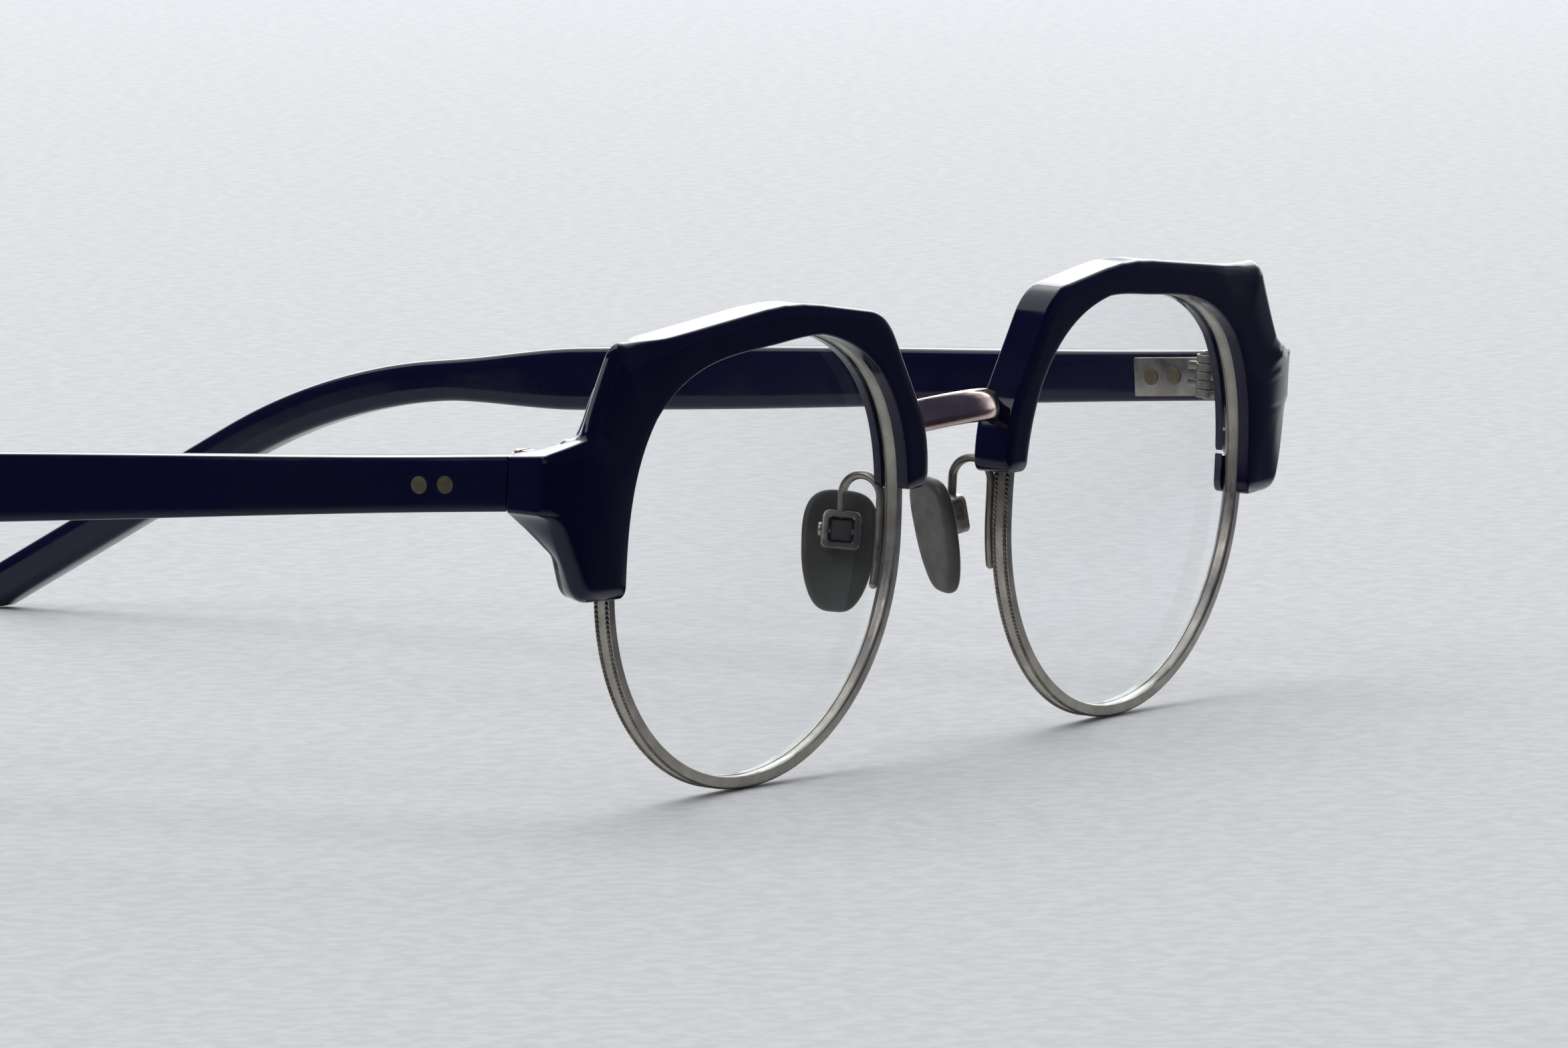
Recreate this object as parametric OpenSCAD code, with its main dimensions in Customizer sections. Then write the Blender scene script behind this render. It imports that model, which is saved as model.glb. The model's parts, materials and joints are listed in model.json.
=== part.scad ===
// Browline spectacle frame: full metal eyewires under a pair of black acetate brows,
// with acetate temples, rocking nose pads and riveted barrel hinges.
//
// The wearer looks along -Y and stands up along +Z, so +X is the wearer's left.
// The frame stands on its eyewires and temple tips with both temples open.
// Every side part is drawn once, for the wearer's left, and mirrored for the right.

/* [Lens] */
// Width of a lens
lens_width = 49.2; // [48:0.2:50.4]
// Height of a lens
lens_height = 40; // [39:0.5:41]
// Distance between the lenses, over the nose
bridge_gap = 22.8; // [22:0.2:23.6]
// Thickness of a lens
lens_thick = 1.8; // [1.4:0.1:2.2]
// Radius of the front surface of a lens
lens_radius = 220; // [180:10:400]
// Squareness of the upper half of the lens: 2 is an ellipse
upper_power = 2.6; // [2.3:0.1:2.8]
// Squareness of the lower half of the lens
lower_power = 2.05; // [2:0.05:2.2]

/* [Eyewire] */
// Depth of the eyewire, front to back
rim_depth = 1.65; // [1.5:0.05:1.9]
// Height of the eyewire's section, from the lens outwards
rim_wall = 1.15; // [1:0.05:1.3]

/* [Brow] */
// How far the brow stands in front of the eyewire
brow_proud = 1.2; // [1:0.1:1.4]
// How far the brow reaches back from the front of the eyewire
brow_back = 2.5; // [2.3:0.1:2.8]
// Half the width over the two outer corners of the brows
corner_x = 72.6; // [72:0.2:73.4]

/* [Fit on the face] */
// Angle that each lens turns back from the nose
wrap = 1.75; // [0:0.25:3]
// Angle that the lenses lean, with their lower edge towards the cheek
lean = 2.9; // [1:0.1:5]
// Angle that each open temple spreads outwards
spread = 2; // [0:0.5:3]
// Angle that each temple drops towards the ear
drop = 2.6; // [1.6:0.2:3.6]

/* [Temple] */
// Thickness of the temple at the hinge
temple_thick = 4.6; // [4.2:0.1:5]
// Thickness of the temple behind its taper
temple_thin = 3.6; // [3.2:0.1:4]
// Height of the temple at the hinge
temple_height = 4.9; // [4.6:0.1:5.2]
// Height of the temple at its widest, in front of the ear
temple_wide = 6.3; // [5.6:0.1:7]
// Height of the slender part that goes over the ear
tip_height = 4.2; // [4:0.1:4.8]
// Length from the hinge to the start of the bend
straight_length = 90; // [86:1:94]
// Radius of the bend over the ear
bend_radius = 65; // [55:5:75]

/* [Nose pads] */
// Width of a nose pad
pad_width = 7; // [6.5:0.1:7.5]
// Height of a nose pad
pad_height = 11.4; // [10.8:0.1:12]
// Thickness of a nose pad
pad_thick = 1.3; // [1.1:0.1:1.5]

/* [Hidden] */

$fn = 48;
acetate = [0.06, 0.06, 0.09];
pewter = [0.46, 0.44, 0.39];
steel = [0.7, 0.68, 0.62];
pad_grey = [0.3, 0.3, 0.28];
clear = [0.8, 0.88, 0.9, 0.4];

// Clearances
braze = 0.01;
running = 0.04;
snug = 0.05;

// Lens and eyewire
lens_half = lens_width / 2;
lens_x = bridge_gap / 2 + lens_half;
outline_steps = 120;
lip = 0.5;
groove_deep = 0.55;
rim_floor = lens_height / 2 + rim_wall;

// Origin: under the middle of the frame. The lens centres stand this high, and this far forward
stand_z = rim_floor * cos(lean);
front_y = -75.4;

// Endpiece and mitre joint, in the plane of one lens
seam_y = 4.15;
mitre = 22;
seam_gap = 0.1;
endpiece_z = 8.7;
inner_x = corner_x - temple_thick;

// Hinge, in the plane of one lens
barrel_r = 1.3;
hinge_pin_r = 0.6;
hinge_x = inner_x - 1.5;
hinge_y = 6.2;
knuckle = 0.8;
knuckle_gap = 0.05;
knuckles = 5;
barrel_height = knuckles * knuckle + (knuckles - 1) * knuckle_gap;

// Temple
tip_r = tip_height / 2;
bend = 25.9;
bend_end = drop + bend;
seam_z = stand_z + endpiece_z * cos(lean) + seam_y * sin(lean);
fall = seam_z - tip_r - straight_length * sin(drop)
    - bend_radius * (cos(drop) - cos(bend_end));
tip_length = fall / sin(bend_end);
taper_length = 45;
rivet_r = 0.82;
rivets = [6.3, 8.9];
core_r = 0.6;

// Nose pad, in the plane of one lens: the pivot in the pad arm's box
pad_pivot = [10.9, 6.15, -0.3];
pad_turn = 57;
pad_splay = 15;
pad_lean = 3;
pad_drop = 1.6;
pad_stand_off = 1.25;
box_outer = 3.6;
box_inner = 2.3;
box_deep = 1.8;
pad_pin_r = 0.4;
arm_r = 0.42;
arm_gap = 0.08;
arm_out = rim_wall / 2;
arm_x = lens_x - lens_half - arm_out;
arm_y = rim_depth + arm_r + arm_gap;
arm_z = 3.1;

// Brow lugs: the angle of each round the lens, seen from the lens centre
lug_angles = [36, 142];
lug_out = 1.75;
lug_r = 1.25;
screw_r = 0.5;
head_r = 0.95;

// The top of the lens slopes down towards the temple between these angles
dip_from = 34;
dip_to = 112;
dip_deep = 1;
function dip(a) =
    (a > dip_from && a < dip_to) ? dip_deep * sin(180 * (a - dip_from) / (dip_to - dip_from)) : 0;

// A point of the lens outline at an angle, moved outwards by "grow"
function power(a) = sin(a) >= 0 ? upper_power : lower_power;
function lens_reach(a) =
    let (p = power(a), b = lens_height / 2)
    pow(pow(abs(cos(a)) / lens_half, p) + pow(abs(sin(a)) / b, p), -1 / p) - dip(a);
function lens_edge(a) = lens_reach(a) * [cos(a), sin(a)];
function lens_normal(a) =
    let (t = lens_edge(a + 0.5) - lens_edge(a - 0.5))
    [t[1], -t[0]] / norm(t);
function outline_at(a, grow) = [lens_x, 0] + lens_edge(a) + grow * lens_normal(a);
function outline(grow) = [
    for (i = [0:outline_steps - 1]) outline_at(i * 360 / outline_steps, grow)
];

// A polygon from corners [x, y, radius], each rounded by its own radius
function unit(v) = v / norm(v);
function fillet(a, b, c, r) =
    let (
        u = unit(a - b),
        v = unit(c - b),
        half = acos(u * v) / 2,
        centre = b + unit(u + v) * r / sin(half),
        p = b + u * r / tan(half) - centre,
        q = b + v * r / tan(half) - centre,
        from = atan2(p[1], p[0]),
        sweep = (atan2(q[1], q[0]) - from + 540) % 360 - 180,
        steps = max(2, ceil(abs(sweep) / 8))
    )
    [for (i = [0:steps]) centre + r * [cos(from + sweep * i / steps), sin(from + sweep * i / steps)]];
function flat(c) = [c[0], c[1]];
function rounded(corners) =
    let (n = len(corners))
    [
        for (i = [0:n - 1])
            let (
                before = flat(corners[(i + n - 1) % n]),
                here = flat(corners[i]),
                after = flat(corners[(i + 1) % n]),
                r = corners[i][2]
            )
            each (r == 0 ? [here] : fillet(before, here, after, r))
    ];

// Frames: standing on the table, then turned to the plane of the wearer's left lens
module standing() translate([0, front_y, stand_z]) rotate([lean, 0, 0]) children();
module on_left()
    standing() translate([lens_x, 0, 0]) rotate([0, 0, wrap]) translate([-lens_x, 0, 0])
        children();
module on_right() mirror([1, 0, 0]) on_left() children();

// A flat shape drawn in X and Z, from one depth to another
module plate(from, to)
    translate([0, to, 0]) rotate([90, 0, 0]) linear_extrude(height = to - from) children();

// A round bar from one point to another
module bar(from, to, r) {
    d = to - from;
    length = norm(d);
    translate(from)
        rotate([0, acos(d[2] / length), atan2(d[1], d[0])])
            cylinder(h = length, r = r);
}

// The ball that joins two stretches of wire
module elbow(at, r) translate(at) sphere(r = r * 1.05, $fn = 32);

module lens() color(clear) {
    apex = rim_depth / 2 - lens_thick / 2 - 1;
    intersection() {
        plate(-4, 6) polygon(outline(-snug));
        difference() {
            translate([lens_x, apex + lens_radius, 0]) sphere(r = lens_radius, $fn = 180);
            translate([lens_x, apex + lens_radius + lens_thick, 0])
                sphere(r = lens_radius, $fn = 180);
        }
    }
    plate(rim_depth / 2 - 0.25, rim_depth / 2 + 0.25) difference() {
        polygon(outline(lip));
        polygon(outline(-0.3));
    }
}

// The angle and height at which the eyewire is split to take the lens
split_z = 4.2;
split_x = outline_at(10, rim_wall)[0];

module eyewire() color(pewter) {
    difference() {
        plate(0, rim_depth) polygon(outline(rim_wall));
        plate(-1, rim_depth + 1) polygon(outline(0));
        plate(rim_depth / 2 - 0.3, rim_depth / 2 + 0.3) polygon(outline(groove_deep));
        translate([split_x - 3, -1, split_z - 0.1]) cube([6, 4, 0.2]);
    }
    for (a = lug_angles) difference() {
        at_lug(a) plate_disc(lug_r, rim_depth - 0.7, rim_depth);
        plate(-1, rim_depth + 1) polygon(outline(rim_wall - 0.2));
        at_lug(a) plate_disc(screw_r + snug, 0, rim_depth + 1);
    }
}

// Places a round lug, pocket or screw at its angle round the lens
module at_lug(a) {
    p = outline_at(a, lug_out);
    translate([p[0], 0, p[1]]) children();
}
module plate_disc(r, from, to)
    translate([0, to, 0]) rotate([90, 0, 0]) cylinder(h = to - from, r = r);

// Two half blocks that the rim screw pulls together to close the eyewire on its lens
block = [2.3, 2.1, 1.8];
block_x = split_x + 0.1;
block_y = 0.7;
module closing_block() color(pewter) for (z = [split_z - 0.1 - block[2], split_z + 0.1]) {
    difference() {
        translate([block_x - 0.8, block_y, z]) cube(block);
        plate(-1, 4) polygon(outline(rim_wall + braze));
        rim_screw_axis() cylinder(h = 8, r = screw_r + braze, center = true);
    }
}

module rim_screw_axis() translate([block_x + 0.65, block_y + block[1] / 2, split_z]) children();
module rim_screw() color(steel) rim_screw_axis() {
    translate([0, 0, -1.9]) cylinder(h = 3.8, r = screw_r);
    translate([0, 0, -2.3]) cylinder(h = 0.4, r = 0.66);
}

// The acetate brow: a channel over the upper eyewire, with the endpiece at its outer corner
brow_corners = [
    [lens_x - 24.1, 4.2, 0],
    [lens_x - 28.5, 4.2, 1.4],
    [lens_x - 28.1, 9.6, 10],
    [lens_x - 19.6, 20.9, 6.5],
    [lens_x - 3.2, 22.9, 45],
    [lens_x + 18.8, 20.9, 30],
    [corner_x - 9.8, 20.8, 2.5],
    [corner_x - 5.3, 12.9, 1.6],
    [corner_x, 11.6, 0.5],
    [corner_x, endpiece_z - temple_height / 2, 0.5],
    [corner_x - 1.7, 5.6, 3],
    [corner_x - 5.2, -1.9, 2.6],
    [lens_x + 24.9, -1.9, 1.2],
    [lens_x + 24, 3.5, 0]
];
module brow() color(acetate) difference() {
    union() {
        plate(-brow_proud, brow_back) polygon(rounded(brow_corners));
        translate([0, 0, endpiece_z - temple_height / 2])
            linear_extrude(height = temple_height)
                polygon([
                    [inner_x, brow_back - 0.5],
                    [corner_x, brow_back - 0.5],
                    [corner_x, seam_y],
                    [inner_x, seam_y + temple_thick * tan(mitre)]
                ]);
    }
    plate(-brow_proud - 1, brow_back + 1) polygon(outline(0));
    plate(-0.03, rim_depth + 0.03) polygon(outline(rim_wall + snug));
    for (a = lug_angles) at_lug(a) {
        plate_disc(lug_r + snug, rim_depth - 0.75, brow_back + 1);
        plate_disc(screw_r + braze, 0.2, rim_depth);
    }
    translate([split_x - 1, block_y - 0.1, split_z - 2.5]) cube([block[0] + 0.6, 5, 5]);
    hinge_foot(snug);
    arm_path(arm_r + 0.12);
    unwrapped() bridge_bar(snug);
}

// From the plane of the left lens back to the middle of the frame
module unwrapped()
    translate([lens_x, 0, 0]) rotate([0, 0, -wrap]) translate([-lens_x, 0, 0]) children();

module brow_screws() color(steel) for (a = lug_angles) at_lug(a) {
    plate_disc(screw_r, 0.3, rim_depth + 0.1);
    difference() {
        plate_disc(head_r, rim_depth + 0.02, brow_back - 0.1);
        translate([-2, brow_back - 0.35, -0.12]) cube([4, 1, 0.24]);
    }
}

// The bridge: a bowed bar, highest and most forward at its middle, with a foot brazed to each eyewire
bridge_z = 11.15;
bridge_front = -2.65;
bridge_bow = 15;
bridge_tall = 3.1;
bridge_deep = 1.8;
bridge_rise = 20;
bridge_reach = 71;
bridge_foot = 5.4;
module bridge_bar(grow) {
    deep = bridge_deep / 2 + grow;
    tall = bridge_tall / 2 + grow;
    soft = 0.55;
    reach = bridge_reach + 2 * grow / bridge_bow * 180 / PI;
    end_x = bridge_bow * sin(bridge_reach / 2);
    end_y = bridge_bow * (1 - cos(bridge_reach / 2));
    translate([0, bridge_front + bridge_deep / 2, bridge_z]) rotate([-bridge_rise, 0, 0]) {
        translate([0, bridge_bow, 0])
            rotate([0, 0, -90 - reach / 2])
                rotate_extrude(angle = reach, $fn = 120)
                    translate([bridge_bow, 0]) polygon([
                        [-deep, -tall + soft], [-deep + soft, -tall],
                        [deep - soft, -tall], [deep, -tall + soft],
                        [deep, tall - soft], [deep - soft, tall],
                        [-deep + soft, tall], [-deep, tall - soft]
                    ]);
        for (side = [-1, 1]) translate([side * end_x, end_y, 0]) {
            cylinder(h = 2 * tall - soft, r = deep + 0.02, center = true);
            translate([side * bridge_foot / 2, 0, 0])
                cube([bridge_foot, 2 * deep, 2 * tall - soft], center = true);
        }
    }
}
module eyewire_room() translate([lens_x, 0, 0]) rotate([0, 0, wrap]) translate([-lens_x, 0, 0])
    plate(-4, 8) polygon(outline(rim_wall + braze));
module bridge() color(pewter) standing() difference() {
    bridge_bar(0);
    eyewire_room();
    mirror([1, 0, 0]) eyewire_room();
}

// Pad arm: a foot along the back of the eyewire, an arch over the top of the pad and a stem down to its box
arm_bow = norm([pad_pivot[0] - arm_x, pad_pivot[1] - arm_y]) / 2;
arm_turn = atan2(pad_pivot[1] - arm_y, pad_pivot[0] - arm_x);
module arm_path(r) {
    foot = outline_at(191, arm_out);
    stem = [pad_pivot[0], pad_pivot[1], arm_z];
    bar([foot[0], arm_y, foot[1]], [arm_x, arm_y, 0], r);
    bar([arm_x, arm_y, 0], [arm_x, arm_y, arm_z], r);
    translate([(arm_x + pad_pivot[0]) / 2, (arm_y + pad_pivot[1]) / 2, arm_z])
        rotate([90, 0, arm_turn])
            rotate_extrude(angle = 180) translate([arm_bow, 0]) circle(r = r, $fn = 24);
    bar(stem, pad_pivot + [0, 0, box_outer / 2 - 0.1], r);
    for (p = [[arm_x, arm_y, 0], [arm_x, arm_y, arm_z], stem]) elbow(p, r);
}
module pad_arm() color(pewter) {
    arm_path(arm_r);
    at_pad() difference() {
        cube([box_outer, box_deep, box_outer], center = true);
        cube([box_inner, box_deep + 1, box_inner], center = true);
        pad_pin_hole();
    }
}

// Pad frame: X runs across the pad, Y points from the box to the pad and Z up along it
module at_pad()
    translate(pad_pivot) rotate([0, 0, pad_turn]) rotate([-pad_splay, -pad_lean, 0]) children();
module pad_pin_hole()
    rotate([0, 90, 0]) cylinder(h = box_outer + 4, r = pad_pin_r + running, center = true);

module nose_pad() color(pad_grey) at_pad() {
    half = pad_width / 2;
    plate(pad_stand_off, pad_stand_off + pad_thick) polygon(rounded([
        [half, pad_height / 2 - pad_drop, 3.2],
        [half, -2 - pad_drop, 3],
        [half * 0.62, -pad_height / 2 - pad_drop, 1.9],
        [-half * 0.62, -pad_height / 2 - pad_drop, 1.9],
        [-half, -2 - pad_drop, 3],
        [-half, pad_height / 2 - pad_drop, 3.2]
    ]));
    difference() {
        lug = box_inner - 0.3;
        translate([-lug / 2, -0.45, -lug / 2]) cube([lug, pad_stand_off + 0.55, lug]);
        pad_pin_hole();
    }
}

module pad_screw() color(steel) at_pad() rotate([0, 90, 0]) {
    cylinder(h = box_outer, r = pad_pin_r, center = true);
    translate([0, 0, box_outer / 2]) cylinder(h = 0.35, r = 0.7);
}

// Barrel hinge: knuckles 0, 2 and 4 belong to the front, 1 and 3 to the temple
module at_hinge() translate([hinge_x, hinge_y, endpiece_z - barrel_height / 2]) children();
module at_knuckle(i) translate([0, 0, i * (knuckle + knuckle_gap)]) children();
module hinge_bore() translate([0, 0, -1]) cylinder(h = 8, r = hinge_pin_r + running);

// The foot of the front hinge, sunk into the back of the brow
module hinge_foot(grow) {
    foot = [5.6, 1.5, 4.2];
    translate([hinge_x + 1 - foot[0] - grow, brow_back - 0.9 - grow, endpiece_z - foot[2] / 2 - grow])
        cube([foot[0] + 2 * grow, foot[1] + 3 * grow, foot[2] + 2 * grow]);
}
module front_hinge() color(steel) {
    hinge_foot(0);
    at_hinge() difference() {
        for (i = [0, 2, 4]) at_knuckle(i) {
            cylinder(h = knuckle, r = barrel_r);
            translate([-1.1, brow_back - hinge_y, 0]) cube([2.1, hinge_y - brow_back, knuckle]);
        }
        hinge_bore();
    }
}

module hinge_screw() color(steel) at_hinge() {
    translate([0, 0, -0.2]) cylinder(h = barrel_height + 0.3, r = hinge_pin_r);
    difference() {
        translate([0, 0, barrel_height + 0.02]) cylinder(h = 0.35, r = 1.05);
        translate([-2, -0.15, barrel_height + 0.2]) cube([4, 0.3, 1]);
    }
}

// Temple frame: Y runs back along the temple from the mitre joint, and X = 0 is its outer face
module along_temple()
    translate([corner_x, seam_y, endpiece_z]) rotate([-drop - lean, 0, -spread - wrap]) children();
module mitre_cut()
    translate([corner_x, seam_y + seam_gap, 0]) rotate([0, 0, -mitre]) translate([-20, -20, -10])
        cube([40, 20, 40]);

// Side view of the temple, from its mitre joint to its tip
wide_at = 76;
bend_centre = [straight_length, -bend_radius];
tip_centre = bend_centre + bend_radius * [sin(bend), cos(bend)] + tip_length * [cos(bend), -sin(bend)];
function arc(centre, r, from, to, steps) = [
    for (i = [0:steps])
        let (a = from + (to - from) * i / steps)
        concat(centre + r * [sin(a), cos(a)], 0)
];
module temple_side() polygon(rounded(concat(
    [
        [-3, temple_height / 2, 0],
        [wide_at, temple_wide / 2, 12],
        [straight_length - 1, tip_r, 8]
    ],
    arc(bend_centre, bend_radius + tip_r, 0, bend, 12),
    arc(tip_centre, tip_r, bend, bend + 180, 12),
    arc(bend_centre, bend_radius - tip_r, bend, 0, 12),
    [
        [straight_length - 1, -tip_r, 8],
        [wide_at, -temple_wide / 2, 12],
        [-3, -temple_height / 2, 0]
    ]
)));
module temple() color(acetate) difference() {
    along_temple() intersection() {
        rotate([90, 0, 90]) translate([0, 0, -temple_thick])
            linear_extrude(height = temple_thick) temple_side();
        translate([0, 0, -80]) linear_extrude(height = 120) polygon([
            [0, -5], [0, 170], [-temple_thin, 170],
            [-temple_thin, taper_length], [-temple_thick, 6], [-temple_thick, -5]
        ]);
    }
    mitre_cut();
    along_temple() {
        core_path(core_r + braze);
        for (y = rivets) translate([-10, y, 0]) rotate([0, 90, 0]) cylinder(h = 12, r = rivet_r + braze);
        leaf(snug);
    }
}

// The stiffening wire inside the temple
core_start = 12;
module core_path(r) {
    core_x = -temple_thin / 2;
    bar([core_x, core_start, 0], [core_x, straight_length, 0], r);
    elbow([core_x, straight_length, 0], r);
    translate([core_x, straight_length, -bend_radius])
        rotate([90, 0, 90]) rotate([0, 0, 90 - bend])
            rotate_extrude(angle = bend) translate([bend_radius, 0]) circle(r = r, $fn = 24);
    translate([core_x, straight_length, -bend_radius]) rotate([-bend, 0, 0]) {
        bar([0, 0, bend_radius], [0, tip_length - 4, bend_radius], r);
        elbow([0, 0, bend_radius], r);
    }
}
module temple_core() color(steel) along_temple() core_path(core_r);

// The leaf of the temple hinge, let into the inner face
leaf_deep = 0.7;
leaf_from = 2.4;
leaf_to = 10.8;
module leaf(grow)
    translate([-temple_thick - 0.35, leaf_from - grow, -1.9 - grow])
        cube([leaf_deep + 0.35 + grow, leaf_to - leaf_from + 2 * grow, 3.8 + 2 * grow]);
module temple_hinge() color(steel) difference() {
    union() {
        along_temple() leaf(0);
        at_hinge() for (i = [1, 3]) at_knuckle(i) {
            cylinder(h = knuckle, r = barrel_r);
            translate([0, 0.45, 0]) cube([1.7, 2, knuckle]);
        }
    }
    at_hinge() hinge_bore();
    along_temple() for (y = rivets)
        translate([-10, y, 0]) rotate([0, 90, 0]) cylinder(h = 12, r = rivet_r + braze);
}

module rivet_pins() color(steel) along_temple() for (y = rivets) {
    length = temple_thick + 0.45;
    translate([-length, y, 0]) rotate([0, 90, 0]) cylinder(h = length, r = rivet_r);
}

bridge();
on_left() lens();  // lens_left
on_right() lens();  // lens_right
on_left() eyewire();  // eyewire_left
on_right() eyewire();  // eyewire_right
on_left() closing_block();  // closing_block_left
on_right() closing_block();  // closing_block_right
on_left() rim_screw();  // rim_screw_left
on_right() rim_screw();  // rim_screw_right
on_left() brow();  // brow_left
on_right() brow();  // brow_right
on_left() brow_screws();  // brow_screws_left
on_right() brow_screws();  // brow_screws_right
on_left() pad_arm();  // pad_arm_left
on_right() pad_arm();  // pad_arm_right
on_left() nose_pad();  // nose_pad_left
on_right() nose_pad();  // nose_pad_right
on_left() pad_screw();  // pad_screw_left
on_right() pad_screw();  // pad_screw_right
on_left() front_hinge();  // front_hinge_left
on_right() front_hinge();  // front_hinge_right
on_left() hinge_screw();  // hinge_screw_left
on_right() hinge_screw();  // hinge_screw_right
on_left() temple_hinge();  // temple_hinge_left
on_right() temple_hinge();  // temple_hinge_right
on_left() temple();  // temple_left
on_right() temple();  // temple_right
on_left() temple_core();  // temple_core_left
on_right() temple_core();  // temple_core_right
on_left() rivet_pins();  // rivet_pins_left
on_right() rivet_pins();  // rivet_pins_right
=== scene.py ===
import json
import math

import bmesh
import bpy
import numpy as np
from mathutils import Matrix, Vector


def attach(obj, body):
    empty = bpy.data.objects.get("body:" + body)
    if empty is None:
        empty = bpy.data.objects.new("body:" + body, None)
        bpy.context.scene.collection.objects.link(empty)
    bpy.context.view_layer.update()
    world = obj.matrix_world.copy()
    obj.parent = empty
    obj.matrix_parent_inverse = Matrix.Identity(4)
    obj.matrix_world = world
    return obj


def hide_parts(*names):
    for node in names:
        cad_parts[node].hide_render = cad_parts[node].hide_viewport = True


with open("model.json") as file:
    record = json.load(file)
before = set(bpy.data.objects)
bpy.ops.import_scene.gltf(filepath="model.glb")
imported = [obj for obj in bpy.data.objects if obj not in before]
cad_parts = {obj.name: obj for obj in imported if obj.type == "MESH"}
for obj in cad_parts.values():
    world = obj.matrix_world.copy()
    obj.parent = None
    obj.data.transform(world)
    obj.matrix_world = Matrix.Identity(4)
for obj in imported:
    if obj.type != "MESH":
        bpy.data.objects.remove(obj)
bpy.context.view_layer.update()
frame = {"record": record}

MM = 0.001

# ---------------------------------------------------------------- sizes shared with the CAD part, in mm
LENS_W, LENS_H, GAP = 49.2, 40.0, 22.8
LENS_X = GAP / 2 + LENS_W / 2
LENS_T, LENS_R = 1.8, 220.0
P_UP, P_LOW = 2.6, 2.05
DIP_FROM, DIP_TO, DIP_DEEP = math.radians(34), math.radians(112), 1.0
RIM_DEPTH, RIM_WALL = 1.65, 1.15
BROW_FRONT, BROW_BACK = -1.2, 2.5
CORNER_X = 72.6
WRAP, LEAN, SPREAD, DROP = (math.radians(a) for a in (1.75, 2.9, 2.0, 2.6))
T_THICK, T_THIN, T_H, T_WIDE, T_TIP = 4.6, 3.6, 4.9, 6.3, 4.2
STRAIGHT, BEND_R, BEND = 90.0, 65.0, math.radians(25.9)
SEAM_Y, SEAM_GAP, MITRE = 4.15, 0.1, math.radians(22)
END_Z = 8.7
HINGE = np.array([CORNER_X - T_THICK - 1.5, 6.2, END_Z])
PAD_PIVOT = np.array([10.9, 6.15, -0.3])
PAD_TURN, PAD_SPLAY, PAD_LEAN = (math.radians(a) for a in (57, 15, 3))
RIVETS, RIVET_R = (6.3, 8.9), 0.82
SPLIT_Z = 4.2


def rot_x(a):
    c, s = math.cos(a), math.sin(a)
    return np.array([[1, 0, 0], [0, c, -s], [0, s, c]])


def rot_y(a):
    c, s = math.cos(a), math.sin(a)
    return np.array([[c, 0, s], [0, 1, 0], [-s, 0, c]])


def rot_z(a):
    c, s = math.cos(a), math.sin(a)
    return np.array([[c, -s, 0], [s, c, 0], [0, 0, 1]])


# The record's hinge position places the plane of the left lens
fold = next(j for j in frame["record"]["behaviour"]["joints"] if j["name"] == "temple_left_fold")
turned_hinge = rot_z(WRAP) @ (HINGE - [LENS_X, 0, 0]) + [LENS_X, 0, 0]
OFFSET = np.array(fold["pos_m"]) / MM - rot_x(LEAN) @ turned_hinge


def standing(p):
    return np.asarray(p, float) @ rot_x(LEAN).T + OFFSET


def left(p):
    """From the plane of the left lens to the row frame, in mm."""
    q = (np.asarray(p, float) - [LENS_X, 0, 0]) @ rot_z(WRAP).T + [LENS_X, 0, 0]
    return standing(q)


def along_temple(p):
    q = np.asarray(p, float) @ (rot_z(-SPREAD - WRAP) @ rot_x(-DROP - LEAN)).T
    return q + [CORNER_X, SEAM_Y, END_Z]


def at_pad(p):
    return np.asarray(p, float) @ (rot_z(PAD_TURN) @ rot_y(-PAD_LEAN) @ rot_x(-PAD_SPLAY)).T + PAD_PIVOT


# ---------------------------------------------------------------- outlines
def lens_edge(a):
    a = np.asarray(a, float)
    p = np.where(np.sin(a) >= 0, P_UP, P_LOW)
    reach = ((np.abs(np.cos(a)) / (LENS_W / 2)) ** p + (np.abs(np.sin(a)) / (LENS_H / 2)) ** p) ** (-1 / p)
    turn = (a + math.pi) % (2 * math.pi) - math.pi
    part = np.clip((turn - DIP_FROM) / (DIP_TO - DIP_FROM), 0, 1)
    reach = reach - DIP_DEEP * np.sin(math.pi * part)
    return np.stack([reach * np.cos(a), reach * np.sin(a)], -1)


def lens_normal(a):
    t = lens_edge(a + 0.009) - lens_edge(a - 0.009)
    n = np.stack([t[..., 1], -t[..., 0]], -1)
    return n / np.linalg.norm(n, axis=-1, keepdims=True)


def outline_at(a, grow=0.0):
    return lens_edge(a) + [LENS_X, 0] + grow * lens_normal(a)


def even_angles(n, grow=0.0):
    """n angles evenly spaced by arc length round the lens."""
    a = np.linspace(0, 2 * math.pi, 7201)
    p = outline_at(a, grow)
    s = np.concatenate([[0], np.cumsum(np.linalg.norm(np.diff(p, axis=0), axis=1))])
    return np.interp(np.linspace(0, s[-1], n, endpoint=False), s, a), s[-1]


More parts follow.
